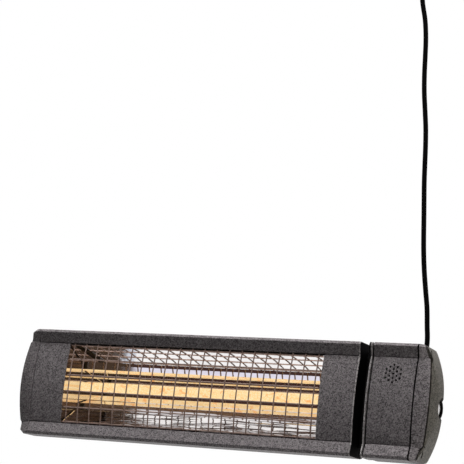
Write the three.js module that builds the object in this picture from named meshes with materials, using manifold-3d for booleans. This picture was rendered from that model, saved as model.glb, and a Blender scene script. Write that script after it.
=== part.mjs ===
// Electric bar heater for a wall: a long aluminium housing with a halogen lamp in a faceted
// reflector behind a bowed wire guard, a control box on a short neck at its right end, a tilting
// wall bracket, and a mains lead that rises from behind the control box to an outlet on the wall.
//
// Millimetres. +X runs along the heater to the right, the front faces -Y and +Z is up. The origin
// is the middle of the bracket's back face, so the wall is the plane y = 0.
//
// A section of the heater is drawn in (depth, height): depth runs back from the plane of the
// front edges towards the wall, height is z.
import * as THREE from "three";
import { mergeVertices } from "three/addons/utils/BufferGeometryUtils.js";
import Module from "manifold-3d";

const wasm = await Module();
wasm.setup();

// ---- driving dimensions -------------------------------------------------------------------
const GAP = 0.3; // clearance between pieces that touch on the real heater
const FRONT_Y = -120; // plane of the front edges, from the wall
const EDGE_Z = 59; // half the height of the bowed front face
const BOW = 5; // how far the front face bulges at half height
const LIP_REACH = 4.6; // how far the lips above and below the front lean forward
const LIP_HEIGHT = 14.7;
const LIP_EDGE = 3.8; // bevel along a lip's front edge
const BACK_D = 60; // depth of the flat back
const BACK_Z = 30; // half height of the flat back
const SHOULDER_D = 30; // where the top and bottom start to curve towards the back,
const BOX_SHOULDER_D = 44; // and on the control box, which is squarer
const WALL = 2.2; // thickness of the extruded housing

const SEAM = 1; // open joint between an end frame and the pieces beside it
const BODY_LEFT = -259; // ends of the lamp housing
const BODY_RIGHT = 256.2;
const WINDOW_HALF = 205; // half length of the guarded window
const BODY_PLATE = 2.6; // thickness of the plate on the neck's left side
const BOX_PLATE = 4.4; // and on its right side
const NECK_END = 272; // left face of the control box
const SEAL = 2; // width of the recessed seal beside the control box's left plate
const BOX_LEFT = NECK_END + BOX_PLATE + SEAL + 2 * GAP;
const BOX_RIGHT = 343.2;
const NECK_D = 22; // how far the neck is set back

// Width of an end's front strip: at half height, at the front's top and bottom edges, at the root of
// the lips and at the tip of the lips.
const LEFT_STRIP = { middle: 23, edge: 17.8, root: 15, tip: 13 };
const RIGHT_STRIP = { middle: 19.1, edge: 14.5, root: 12.5, tip: 8.2 };
const RIGHT_RIM = { middle: 19.1, edge: 14.5, root: 17, tip: 10 };
const LEFT_END = { x: BODY_LEFT - GAP, side: -1, shoulder: SHOULDER_D, strip: LEFT_STRIP };
const RIGHT_X = BOX_RIGHT + GAP;
const RIGHT_END = { x: RIGHT_X, side: 1, shoulder: BOX_SHOULDER_D, strip: RIGHT_STRIP };
const RIGHT_COVER = { x: RIGHT_X, side: 1, shoulder: BOX_SHOULDER_D, strip: RIGHT_RIM };
const STRIP_SET_BACK = 6; // how far the strip falls back towards the ridge
const LIP_ROOT = 1; // how far above the front's edge the strip draws in for the lip
const TIP_DRAW = 0.8; // how much the strip narrows per millimetre over the lip's bevel
const DOME_REACH = 24.2; // how far a side cover reaches past the seam
const DOME_POWER = 2.3; // a parabola has 2, and a fuller dome has more
const DOME_CENTRE_D = 36; // depth of the dome's middle
const GROOVE = 1.4; // shadow gap between an end frame and its side cover
const FLOOR = 1.4; // thickness of an end frame at its middle

const LAMP_D = 33; // depth of the lamp's axis
const LAMP_Z = 0;
const LAMP_R = 6.5;
const LAMP_HALF = 214; // half length of the lamp's quartz tube
const TROUGH = [
  // the reflector's folds from the middle of its back to its mouth
  [52.2, 0],
  [54.5, 9.4],
  [25.9, 25],
  [24.7, 31.1],
  [23.2, 35.6],
  [5, 57],
];
const TROUGH_HALF = 212;
const SHEET = 1; // thickness of the reflector's sheet
const END_FRONT = { x: 210.5, d: 3 }; // front edge of an end wall
const END_SLANT = Math.atan2(19, 30); // lean of the reflector's end walls

const WIRE_R = 0.95;
const WIRE_PITCH = 19.7;
const WIRE_COLUMNS = 21;
const WIRE_ROWS = [-56.2, -35.1, -11.7, 11.7, 35.1, 56.2];

const HOLE_PITCH = 6;
const HOLE_R = 1.25;
const HOLE_CENTRE = { x: 310, z: 36.1 };

const SLOT = {
  // a release slot runs between two points of a side cover: out from the seam, depth, height
  start: [14.4, 8.8, 62.4],
  end: [8.9, 18, 72.6],
  width: 1.9,
};

const BUTTON = { d: 40, z: -2.7, r: 11.8, back: 351.5, seat: 352.5, face: 361 };
const COLLAR_TOP = 362.8; // the collar round the button stands square in the domed cover
const DISH_R = 15.2; // round recess that the collar sits in

const PIVOT_Y = -34; // tilt axis, parallel to X at z = 0
const ARM_X = 77; // inner face of a bracket arm
const PLATE = 3; // thickness of the bracket's steel

const LEAD_R = 3.5; // mains lead, 7 mm across
const GLAND = { x: 330.6, y: -66, z: 44 };
const RELIEF_TOP = 82; // where the lead leaves its strain relief
const LEAD_ROUTE = [
  // the lead's middle line, chosen by eye: up from the strain relief, leaning left to the outlet
  [330.6, -66, RELIEF_TOP + GAP],
  [330.8, -66, 88],
  [330, -65.5, 98],
  [327.8, -64.3, 111.5],
  [324.2, -62.3, 137],
  [318.8, -60.2, 162],
  [313.4, -58, 188],
  [309, -55.8, 213.5],
  [305.4, -53.5, 239.5],
  [302.2, -51.2, 265.5],
  [298.8, -48.9, 292],
  [295.5, -46.6, 318.5],
  [292.8, -44.2, 345],
  [290.1, -41.8, 372],
  [286.7, -39.4, 399],
  [281.9, -36.9, 426],
  [277, -34.5, 453.5],
  [273.5, -32, 481],
  [270.9, -29.5, 509],
  [268, -27, 537],
  [263, -24.4, 565],
  [256, -22.2, 590],
  [253.2, -21.2, 606],
  [252.8, -21, 617.7],
];
const OUTLET = { x: 252.8, y: -21, z: 618, r: 28, depth: 36 };

// ---- finishes -----------------------------------------------------------------------------
const finish = (color, roughness, metalness) =>
  new THREE.MeshStandardMaterial({ color, roughness, metalness });
const POWDER_COAT = finish(0x57534f, 0.55, 0.3);
const DARK_PLASTIC = finish(0x1b1a1a, 0.6, 0);
const POLISHED = finish(0xd9d6d2, 0.08, 1);
const STEEL = finish(0xb9b4ae, 0.3, 1);
const GOLD_QUARTZ = finish(0xffd98f, 0.1, 0);
const TUNGSTEN = finish(0xffe9b8, 0.4, 1);
const CERAMIC = finish(0xe6dfd0, 0.7, 0);
const BOARD = finish(0x2f6b3c, 0.5, 0);
const LEAD_RUBBER = finish(0x111111, 0.55, 0);

// ---- solids and meshes --------------------------------------------------------------------
function solid(geometry) {
  const bare = geometry.index ? geometry.toNonIndexed() : geometry.clone();
  for (const name of Object.keys(bare.attributes)) {
    if (name !== "position") bare.deleteAttribute(name);
  }
  const merged = mergeVertices(bare, 1e-3);
  return new wasm.Manifold(
    new wasm.Mesh({
      numProp: 3,
      vertProperties: merged.attributes.position.array,
      triVerts: new Uint32Array(merged.index.array),
    }),
  );
}

function geometryOf(manifold) {
  const mesh = manifold.getMesh();
  const points = new Float32Array(mesh.numVert * 3);
  for (let i = 0; i < mesh.numVert; i += 1) {
    const start = i * mesh.numProp;
    points.set(mesh.vertProperties.subarray(start, start + 3), i * 3);
  }
  const geometry = new THREE.BufferGeometry();
  geometry.setAttribute("position", new THREE.BufferAttribute(points, 3));
  geometry.setIndex(new THREE.BufferAttribute(new Uint32Array(mesh.triVerts), 1));
  return geometry;
}

const cut = (base, ...tools) =>
  geometryOf(tools.reduce((left, tool) => left.subtract(solid(tool)), solid(base)));
const join = (base, ...more) =>
  geometryOf(more.reduce((left, next) => left.add(solid(next)), solid(base)));

function piece(name, geometry, material) {
  const mesh = new THREE.Mesh(geometry, material);
  mesh.name = name;
  return mesh;
}

// A box between two corners.
function block(low, high) {
  const size = high.map((value, axis) => value - low[axis]);
  const middle = high.map((value, axis) => (value + low[axis]) / 2);
  return new THREE.BoxGeometry(...size).translate(...middle);
}

// A cylinder along one axis, from start to end on that axis, centred on the other two.
function rod(axis, start, end, centre, radius, sides = 16) {
  const geometry = new THREE.CylinderGeometry(radius, radius, end - start, sides);
  if (axis === "x") geometry.rotateZ(-Math.PI / 2);
  if (axis === "z") geometry.rotateX(Math.PI / 2);
  const middle = { x: centre[0], y: centre[1], z: centre[2] };
  middle[axis] = (start + end) / 2;
  return geometry.translate(middle.x, middle.y, middle.z);
}

// A turned part: a closed (radius, height) profile spun about Z, then laid along another axis.
function turned(profile, axis, centre, sides = 24) {
  const points = profile.map(([r, h]) => new THREE.Vector2(r, h));
  const geometry = new THREE.LatheGeometry(points, sides);
  if (axis === "x") geometry.rotateZ(-Math.PI / 2);
  if (axis === "-y") geometry.rotateX(Math.PI);
  if (axis === "z") geometry.rotateX(Math.PI / 2);
  return geometry.translate(...centre);
}

// ---- the heater's section -----------------------------------------------------------------
const bowed = (z) => -BOW * (1 - (z / EDGE_Z) ** 2);

function frontArc(half, inset, steps) {
  const arc = [];
  for (let i = 0; i <= steps; i += 1) {
    const z = -half + (2 * half * i) / steps;
    arc.push([bowed(z) + inset, z]);
  }
  return arc;
}

// One side of the section: the lip leans forward to its edge, then a level run and the curve that
// closes down to the flat back. inset moves the run inwards by a wall's thickness, and shoulder is
// the depth where the curve starts.
function sideRun(sign, inset, shoulder = SHOULDER_D) {
  const level = EDGE_Z + LIP_HEIGHT + LIP_EDGE - inset;
  const run = [
    [-LIP_REACH + inset * 1.25, sign * Math.min(EDGE_Z + LIP_HEIGHT, level)],
    [-LIP_REACH + LIP_EDGE * 0.7 + inset * 1.25, sign * level],
  ];
  const curve = new THREE.EllipseCurve(
    shoulder,
    BACK_Z,
    BACK_D - inset - shoulder,
    level - BACK_Z,
    Math.PI / 2,
    0,
    true,
  );
  for (const point of curve.getPoints(7)) run.push([point.x, sign * point.y]);
  return run;
}

// The whole outline, anticlockwise from the low front edge: front arc up, over the top, back down.
function outline(frontInset = 0) {
  return [...frontArc(EDGE_Z, frontInset, 12), ...sideRun(1, 0), ...sideRun(-1, 0).reverse()];
}

// The outline of an end, with one more point at the root of each lip, where the strip draws in.
function endOutline(shoulder) {
  const root = (sign) => [(-LIP_REACH * LIP_ROOT) / LIP_HEIGHT, sign * (EDGE_Z + LIP_ROOT)];
  return [
    ...frontArc(EDGE_Z, 0, 12),
    root(1),
    ...sideRun(1, 0, shoulder),
    ...sideRun(-1, 0, shoulder).reverse(),
    root(-1),
  ];
}

// Sections extrude along X: the section's depth becomes Y and its height stays Z.
const SECTION_TURN = new THREE.Matrix4().makeBasis(
  new THREE.Vector3(0, 1, 0),
  new THREE.Vector3(0, 0, 1),
  new THREE.Vector3(1, 0, 0),
);

function extruded(points, from, to) {
  const shape = new THREE.Shape(points.map(([d, z]) => new THREE.Vector2(d, z)));
  const geometry = new THREE.ExtrudeGeometry(shape, { depth: to - from, bevelEnabled: false });
  return geometry.applyMatrix4(SECTION_TURN).translate(from, FRONT_Y, 0);
}

// A closed skin over rings of [x, depth, z] points, with a fan from a hub point over each end.
function lofted(rings, hubs) {
  const count = rings[0].length;
  const points = rings.flat().map(([x, d, z]) => [x, FRONT_Y + d, z]);
  for (const [x, d, z] of hubs) points.push([x, FRONT_Y + d, z]);
  const faces = [];
  const lastRing = (rings.length - 1) * count;
  const firstHub = rings.length * count;
  for (let j = 0; j < count; j += 1) {
    const k = (j + 1) % count;
    for (let ring = 0; ring < rings.length - 1; ring += 1) {
      const a = ring * count;
      const b = a + count;
      faces.push(a + j, a + k, b + k, a + j, b + k, b + j);
    }
    faces.push(firstHub, k, j, firstHub + 1, lastRing + j, lastRing + k);
  }
  const geometry = new THREE.BufferGeometry();
  geometry.setAttribute("position", new THREE.Float32BufferAttribute(points.flat(), 3));
  geometry.setIndex(faces);
  return geometry;
}

// ---- lamp housing -------------------------------------------------------------------------
// The extrusion is one wall bent round the section and open at the front between its lips.
function mainHousing() {
  const outer = [
    [0, EDGE_Z],
    ...sideRun(1, 0),
    ...sideRun(-1, 0).reverse(),
    [0, -EDGE_Z],
  ];
  const inner = [
    [WALL * 1.1, -EDGE_Z],
    ...sideRun(-1, WALL),
    ...sideRun(1, WALL).reverse(),
    [WALL * 1.1, EDGE_Z],
  ];
  return piece(
    "main_housing",
    extruded([...outer, ...inner], BODY_LEFT + SEAM - GAP, BODY_RIGHT),
    POWDER_COAT,
  );
}

// Blank front panels either side of the window: bowed sheets set just inside the lips.
function frontPanel(name, from, to) {
  const half = EDGE_Z - SEAM;
  const face = frontArc(half, 0.5, 12);
  const back = frontArc(half, 0.5 + WALL, 12).reverse();
  return piece(name, extruded([...face, ...back].reverse(), from, to), POWDER_COAT);
}

function endPlate(name, from, thickness) {
  const points = outline(-0.4).reverse();
  return piece(name, extruded(points, from, from + thickness), POWDER_COAT);
}

// How far the strip of an end reaches outwards at a height.
function stripWidth(strip, height) {
  if (height <= EDGE_Z) {
    return strip.middle - (strip.middle - strip.edge) * (height / EDGE_Z) ** 2;
  }
  const along = Math.min(1, (height - EDGE_Z) / LIP_HEIGHT);
  const past = Math.max(0, height - EDGE_Z - LIP_HEIGHT);
  return THREE.MathUtils.lerp(strip.root, strip.tip, along) - past * TIP_DRAW;
}

// An end frame carries the section outwards to a ridge. Its front strip is widest at half height
// and falls back on the way out; the rest of its rim draws in towards the back. out moves the ring
// outwards, share is its share of the strip's width, and shrink draws it in to the dome's middle.
function frameRing(end, out, share, shrink = 1) {
  return endOutline(end.shoulder).map(([d, z]) => {
    const rearward = Math.max(0, d - 6) / (BACK_D - 3);
    const reach = share * stripWidth(end.strip, Math.abs(z)) * (1 - 0.75 * rearward);
    const front = Math.max(0, 1 - Math.max(0, d + 1) / SHOULDER_D);
    const depth = d + STRIP_SET_BACK * share ** 1.3 * front;
    return [
      end.x + end.side * (out + reach),
      DOME_CENTRE_D + (depth - DOME_CENTRE_D) * shrink,
      z * shrink,
    ];
  });
}

// Lofts rings that were listed from the seam outwards, between a hub near the seam and one beyond.
function loftedEnd(end, rings, hubReaches) {
  const hubs = hubReaches.map((reach) => [end.x + end.side * reach, DOME_CENTRE_D, 0]);
  if (end.side < 0) return lofted(rings, hubs);
  return lofted(rings.reverse(), hubs.reverse());
}

function endFrame(name, end) {
  const rings = [0, 0.5, 0.95].map((share) => frameRing(end, 0, share));
  rings.push(frameRing(end, 0, 1, 0.99));
  return piece(name, loftedEnd(end, rings, [0, FLOOR]), POWDER_COAT);
}

// A side cover starts behind the groove and closes over a shallow dome.
function coverGeometry(end) {
  const rings = [
    frameRing(end, 3 * GAP, 1, 0.955),
    frameRing(end, GROOVE, 1, 0.962),
    frameRing(end, GROOVE + 0.4, 1, 0.98),
  ];
  const rim = rings[2];
  const apex = end.x + end.side * DOME_REACH;
  const steps = 6;
  for (let i = 1; i < steps; i += 1) {
    const shrink = 1 - i / steps;
    const rise = 1 - shrink ** DOME_POWER;
    rings.push(
      rim.map(([px, d, z]) => [
        px + (apex - px) * rise,
        DOME_CENTRE_D + (d - DOME_CENTRE_D) * shrink,
        z * shrink,
      ]),
    );
  }
  return loftedEnd(end, rings, [2 * FLOOR, DOME_REACH]);
}

// Narrow release slots near the corners, just past the groove.
function releaseSlots(end) {
  return [1, -1].map((sign) => {
    const [start, tip] = [SLOT.start, SLOT.end].map(
      ([out, d, z]) => new THREE.Vector3(end.x + end.side * out, FRONT_Y + d, sign * z),
    );
    const slot = new THREE.BoxGeometry(SLOT.width, 7, start.distanceTo(tip));
    slot.lookAt(tip.clone().sub(start));
    const middle = start.add(tip).multiplyScalar(0.5);
    return slot.translate(middle.x, middle.y, middle.z);
  });
}

function leftSideCover() {
  const cover = cut(coverGeometry(LEFT_END), ...releaseSlots(LEFT_END));
  return piece("left_side_cover", cover, POWDER_COAT);
}

// The right cover also has a round dish and a bore for the power button.
function rightSideCover() {
  const centre = [0, FRONT_Y + BUTTON.d, BUTTON.z];
  const dish = rod("x", BUTTON.seat, BUTTON.seat + 20, centre, DISH_R, 32);
  const bore = rod("x", RIGHT_X - 10, BUTTON.seat + 1, centre, BUTTON.r + GAP, 32);
  const cover = cut(coverGeometry(RIGHT_COVER), ...releaseSlots(RIGHT_COVER), dish, bore);
  return piece("right_side_cover", cover, POWDER_COAT);
}

// ---- reflector, lamp and guard ------------------------------------------------------------
// The trough's section from its low edge to its high edge, moved outwards by an offset, with the
// corners mitred.
function troughOutline(offset) {
  const low = TROUGH.slice(1).map(([d, z]) => [d, -z]);
  const run = [...low.reverse(), ...TROUGH].map(([d, z]) => new THREE.Vector2(d, z));
  const normals = run.slice(1).map((point, i) => {
    const along = point.clone().sub(run[i]).normalize();
    return new THREE.Vector2(along.y, -along.x);
  });
  return run.map((point, i) => {
    const before = normals[Math.max(i - 1, 0)];
    const after = normals[Math.min(i, normals.length - 1)];
    const reach = offset / (1 + before.dot(after));
    return [point.x + (before.x + after.x) * reach, point.y + (before.y + after.y) * reach];
  });
}

function reflector() {
  const inside = troughOutline(0);
  const outside = troughOutline(SHEET).reverse();
  return piece(
    "reflector",
    extruded([...inside, ...outside].reverse(), -TROUGH_HALF, TROUGH_HALF),
    POLISHED,
  );
}

// End walls stand in the trough and lean so that the lamp leaves through a hole further in.
function reflectorEnd(name, side) {
  const stretch = 1 / Math.cos(END_SLANT);
  const points = troughOutline(-1.2).map(([d, z]) => [d * stretch, z]);
  points[0] = [END_FRONT.d * stretch, points[0][1]];
  points[points.length - 1] = [END_FRONT.d * stretch, points[points.length - 1][1]];
  const shape = new THREE.Shape(points.map(([u, z]) => new THREE.Vector2(u, z)).reverse());
  const hole = new THREE.Path();
  hole.absellipse(LAMP_D * stretch, LAMP_Z, (LAMP_R + 1.2) * stretch, LAMP_R + 1.2, 0, 2 * Math.PI);
  shape.holes.push(hole);
  const plate = new THREE.ExtrudeGeometry(shape, {
    depth: SHEET,
    bevelEnabled: false,
    curveSegments: 16,
  });
  const mesh = piece(name, plate.applyMatrix4(SECTION_TURN), POLISHED);
  mesh.rotation.z = side * END_SLANT;
  const root = END_FRONT.x + END_FRONT.d * Math.tan(END_SLANT);
  mesh.position.set(side * root - (side > 0 ? SHEET : 0), FRONT_Y, 0);
  return mesh;
}

function lampTube() {
  const profile = [
    [LAMP_R - 1.1, -LAMP_HALF],
    [LAMP_R, -LAMP_HALF],
    [LAMP_R, LAMP_HALF],
    [LAMP_R - 1.1, LAMP_HALF],
    [LAMP_R - 1.1, -LAMP_HALF],
  ];
  return piece("lamp_tube", turned(profile, "x", [0, FRONT_Y + LAMP_D, LAMP_Z], 20), GOLD_QUARTZ);
}

function filament() {
  const end = LAMP_HALF - 1;
  const coil = rod("x", -190, 190, [0, FRONT_Y + LAMP_D, LAMP_Z], 1.7, 10);
  const lead = rod("x", -end, end, [0, FRONT_Y + LAMP_D, LAMP_Z], 0.6, 8);
  return piece("filament", join(coil, lead), TUNGSTEN);
}

// Ceramic cap on the end of the tube, seated in a U-shaped holder screwed to the housing's back.
function lampEnd(side, word) {
  const inner = LAMP_HALF + GAP;
  const outer = inner + 22;
  const ordered = (a, b) => (side > 0 ? [a, b] : [-b, -a]);
  const [capFrom, capTo] = ordered(inner, outer);
  const [holdFrom, holdTo] = ordered(inner + 5, inner + 17);
  const y = FRONT_Y + LAMP_D;
  const cap = block([capFrom, y - 5, LAMP_Z - 8], [capTo, y + 5, LAMP_Z + 8]);
  const back = FRONT_Y + BACK_D - WALL - GAP;
  const holder = block([holdFrom, y - 5, LAMP_Z - 13], [holdTo, back, LAMP_Z + 13]);
  const room = 8 + GAP;
  const slot = block(
    [holdFrom - 1, y - 6, LAMP_Z - room],
    [holdTo + 1, y + 5 + GAP, LAMP_Z + room],
  );
  return [
    piece(`lamp_cap_${word}`, cap, CERAMIC),
    piece(`lamp_holder_${word}`, cut(holder, slot), STEEL),
  ];
}

// Welded guard: bowed upright wires crossed by long wires that lie just behind them.
function wireSection(radius) {
  const shape = new THREE.Shape();
  shape.moveTo(radius, 0);
  for (let i = 1; i < 4; i += 1) {
    const angle = (i * Math.PI) / 2;
    shape.lineTo(radius * Math.cos(angle), radius * Math.sin(angle));
  }
  return shape;
}

function uprightWire(x) {
  const half = EDGE_Z - 0.9;
  const points = frontArc(half, 1.6, 6).map(([d, z]) => new THREE.Vector3(x, FRONT_Y + d, z));
  const path = new THREE.CatmullRomCurve3(points);
  return new THREE.ExtrudeGeometry(wireSection(WIRE_R), { steps: 6, extrudePath: path });
}

function wireGuard() {
  const first = (-WIRE_PITCH * (WIRE_COLUMNS - 1)) / 2;
  const uprights = [];
  for (let i = 0; i < WIRE_COLUMNS; i += 1) uprights.push(uprightWire(first + i * WIRE_PITCH));
  const reach = -first + 5.5;
  const rows = WIRE_ROWS.map((z) =>
    rod("x", -reach, reach, [0, FRONT_Y + bowed(z) + 1.6 + 1.3 * WIRE_R, z], WIRE_R, 4),
  );
  return piece("wire_guard", join(...rows.slice(0, 1), ...uprights, ...rows.slice(1)), STEEL);
}

// ---- neck and control box -----------------------------------------------------------------
// The neck is set back between the two bodies, with three small ribs at its upper front corner.
function neckBlock() {
  const from = BODY_RIGHT + BODY_PLATE + 2 * GAP;
  const to = NECK_END - GAP;
  const shape = [
    [NECK_D, -64],
    [NECK_D, 60],
    [NECK_D + 4, 67],
    [SHOULDER_D + 16, 62],
    [BACK_D - 6, 34],
    [BACK_D - 6, -34],
    [SHOULDER_D + 16, -60],
  ].reverse();
  const ribs = [50, 54, 58].map((z) =>
    block([from, FRONT_Y + NECK_D - 1.6, z - 1], [to, FRONT_Y + NECK_D + 6, z + 1]),
  );
  return piece("neck_block", join(extruded(shape, from, to), ...ribs), DARK_PLASTIC);
}

// Dark seal, set in from the surface all round.
function boxSeal() {
  const points = outline().map(([d, z]) => [SHOULDER_D + (d - SHOULDER_D) * 0.9, z * 0.955]);
  const from = NECK_END + BOX_PLATE + GAP;
  return piece("box_seal", extruded(points.reverse(), from, from + SEAL), LEAD_RUBBER);
}

// The box's housing is open at the front; its thick back has a pocket for the cable gland and
// four posts for the board.
function boxHousing() {
  const from = BOX_LEFT;
  const to = BOX_RIGHT + GAP - SEAM;
  const [top, bottom] = [1, -1].map((sign) => sideRun(sign, 0, BOX_SHOULDER_D));
  const points = [[0, EDGE_Z], ...top, ...bottom.reverse(), [0, -EDGE_Z]];
  const body = extruded(points.reverse(), from, to);
  const cavity = block([from + 2.4, FRONT_Y - 10, -56.6], [to - 2.4, FRONT_Y + 40, 56.6]);
  const seat = block([from - 1, FRONT_Y - 10, -EDGE_Z], [to + 1, FRONT_Y + 3, EDGE_Z]);
  const pocket = block([GLAND.x - 11, FRONT_Y + 43, GLAND.z], [GLAND.x + 11, 0, 90]);
  const posts = [];
  for (const x of [from + 8, to - 8]) {
    for (const z of [-46, 46]) {
      posts.push(rod("y", FRONT_Y + 28, FRONT_Y + 41, [x, 0, z], 3, 8));
    }
  }
  const hollow = cut(body, cavity, seat, pocket);
  return piece("box_housing", join(hollow, ...posts), POWDER_COAT);
}

// Hexagonal pattern of nineteen round holes, in columns of three, four, five, four and three.
function holePattern() {
  const holes = [];
  for (let column = -2; column <= 2; column += 1) {
    const count = 5 - Math.abs(column);
    for (let row = 0; row < count; row += 1) {
      const x = HOLE_CENTRE.x + (column * HOLE_PITCH * Math.sqrt(3)) / 2;
      const z = HOLE_CENTRE.z + (row - (count - 1) / 2) * HOLE_PITCH;
      holes.push(rod("y", FRONT_Y - 10, FRONT_Y + 6, [x, 0, z], HOLE_R, 8));
    }
  }
  return holes;
}

function boxFront() {
  const half = EDGE_Z - GAP - 0.4;
  const face = frontArc(half, 0.3, 12);
  const back = frontArc(half, 0.3 + 1.8, 12).reverse();
  const from = BOX_LEFT + GAP;
  const panel = extruded([...face, ...back].reverse(), from, BOX_RIGHT + GAP - SEAM);
  return piece("box_front", cut(panel, ...holePattern()), POWDER_COAT);
}

function boxElectronics() {
  const boardFront = FRONT_Y + 26;
  const middle = (BOX_LEFT + BOX_RIGHT) / 2;
  const board = block([BOX_LEFT + 4, boardFront, -51], [BOX_RIGHT - 4, boardFront + 1.7, 51]);
  const before = boardFront - GAP;
  const relay = block([middle - 16, before - 15, -22], [middle + 12, before, -8]);
  const terminals = block([middle - 24, before - 14, -46], [middle + 24, before, -30]);
  const capacitor = rod("y", before - 16, before, [middle + 20, 0, 2], 6, 12);
  const wireWays = [-18, -6, 6, 18].map((offset) =>
    rod("z", -50, -28, [middle + offset, before - 7, 0], 2.2, 8),
  );
  const sounderY = FRONT_Y + 2.6;
  const sounder = rod("y", sounderY, sounderY + 8, [HOLE_CENTRE.x, 0, HOLE_CENTRE.z], 14, 24);
  const pins = rod("y", sounderY + 6, before, [HOLE_CENTRE.x, 0, HOLE_CENTRE.z], 3, 8);
  return [
    piece("control_board", board, BOARD),
    piece("power_relay", relay, DARK_PLASTIC),
    piece("terminal_block", cut(terminals, ...wireWays), CERAMIC),
    piece("capacitor", capacitor, DARK_PLASTIC),
    piece("alarm_sounder", join(sounder, pins), DARK_PLASTIC),
  ];
}

function powerSwitch() {
  const centre = [0, FRONT_Y + BUTTON.d, BUTTON.z];
  const body = rod("x", BUTTON.back - 4.6, BUTTON.back - 1.8, centre, 7, 20);
  return piece("power_switch", body, DARK_PLASTIC);
}

function buttonBezel() {
  const inner = BUTTON.r + GAP;
  const outer = DISH_R - GAP;
  const rise = COLLAR_TOP - BUTTON.seat;
  const profile = [
    [inner, GAP],
    [outer, GAP],
    [outer, rise - 0.8],
    [outer - 0.8, rise],
    [inner + 0.6, rise],
    [inner, rise - 0.6],
    [inner, GAP],
  ];
  const centre = [BUTTON.seat, FRONT_Y + BUTTON.d, BUTTON.z];
  return piece("button_bezel", turned(profile, "x", centre, 32), DARK_PLASTIC);
}

function powerButton() {
  const length = BUTTON.face - BUTTON.back;
  const profile = [
    [0, 0],
    [BUTTON.r - 2, 0],
    [BUTTON.r, 1],
    [BUTTON.r, length - 0.8],
    [BUTTON.r - 0.8, length - 0.2],
    [BUTTON.r / 2, length],
    [0, length],
  ];
  const centre = [BUTTON.back, FRONT_Y + BUTTON.d, BUTTON.z];
  return piece("power_button", turned(profile, "x", centre, 32), STEEL);
}

// ---- cable entry, lead and wall outlet ----------------------------------------------------
function cableEntry() {
  const { x, y, z } = GLAND;
  const base = turned(
    [
      [0, z + GAP],
      [7.5, z + GAP],
      [7.5, z + 6],
      [5.4, z + 6],
      [5.4, z + 10],
      [0, z + 10],
    ],
    "z",
    [x, y, 0],
    6,
  );
  const bore = LEAD_R + 0.4;
  const nut = turned(
    [
      [6.4, z + 6 + GAP],
      [8.2, z + 6 + GAP],
      [8.2, z + 12],
      [6.6, z + 16],
      [bore, z + 16],
      [bore, z + 10 + GAP],
      [6.4, z + 10 + GAP],
      [6.4, z + 6 + GAP],
    ],
    "z",
    [x, y, 0],
    24,
  );
  const relief = turned(
    [
      [0, z + 16 + GAP],
      [6.2, z + 16 + GAP],
      [5.9, z + 20],
      [4.5, RELIEF_TOP],
      [0, RELIEF_TOP],
    ],
    "z",
    [x, y, 0],
    20,
  );
  return [
    piece("gland_body", base, DARK_PLASTIC),
    piece("gland_nut", nut, DARK_PLASTIC),
    piece("strain_relief", relief, LEAD_RUBBER),
  ];
}

function mainsLead() {
  const path = new THREE.CatmullRomCurve3(
    LEAD_ROUTE.map((point) => new THREE.Vector3(...point)),
  );
  const section = new THREE.Shape();
  const sides = 10;
  for (let i = 0; i < sides; i += 1) {
    const angle = (2 * Math.PI * i) / sides;
    const corner = [LEAD_R * Math.cos(angle), LEAD_R * Math.sin(angle)];
    if (i === 0) section.moveTo(...corner);
    else section.lineTo(...corner);
  }
  const tube = new THREE.ExtrudeGeometry(section, { steps: 32, extrudePath: path });
  return piece("mains_lead", tube, LEAD_RUBBER);
}

// Round outlet on the wall: a base disc, a shallow cover and a bush that grips the lead.
function wallOutlet() {
  const { x, y, z, r, depth } = OUTLET;
  const middle = z + 12 + r;
  const base = rod("y", -4, 0, [x, 0, middle], r, 32);
  const cover = turned(
    [
      [0, 4 + GAP],
      [r, 4 + GAP],
      [r, depth - 8],
      [r - 3, depth - 2.5],
      [r - 9, depth],
      [0, depth],
    ],
    "-y",
    [x, 0, middle],
    32,
  );
  const socket = rod("z", z - 5, z + 22, [x, y, 0], 7.3, 24);
  const bush = turned(
    [
      [0, z],
      [5.6, z],
      [7, z + 6],
      [7, z + 16],
      [0, z + 16],
    ],
    "z",
    [x, y, 0],
    20,
  );
  return [
    piece("outlet_base", base, DARK_PLASTIC),
    piece("outlet_cover", cut(cover, socket), DARK_PLASTIC),
    piece("outlet_bush", bush, LEAD_RUBBER),
  ];
}

// ---- bracket and tilt pivot ---------------------------------------------------------------
// Steel bracket: a plate on the wall and two arms with rounded ends that hold the pivots.
function wallBracket() {
  const outside = ARM_X + PLATE;
  const plate = block([-outside, -PLATE, -30], [outside, 0, 30]);
  const holes = [-52, 52].map((x) => rod("y", -PLATE - 1, 1, [x, 0, 0], 3.5, 16));
  const arms = [ARM_X, -outside].map((x) => {
    const arm = new THREE.Shape();
    arm.moveTo(0, -18);
    arm.lineTo(PIVOT_Y + 8, -12);
    arm.absarc(PIVOT_Y, 0, 12, -Math.PI / 2, Math.PI / 2, true);
    arm.lineTo(0, 18);
    const hole = new THREE.Path();
    hole.absarc(PIVOT_Y, 0, 4.4, 0, 2 * Math.PI);
    arm.holes.push(hole);
    const geometry = new THREE.ExtrudeGeometry(arm, {
      depth: PLATE,
      bevelEnabled: false,
      curveSegments: 16,
    });
    return geometry.applyMatrix4(SECTION_TURN).translate(x, 0, 0);
  });
  return piece("wall_bracket", cut(join(plate, ...arms), ...holes), STEEL);
}

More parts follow.
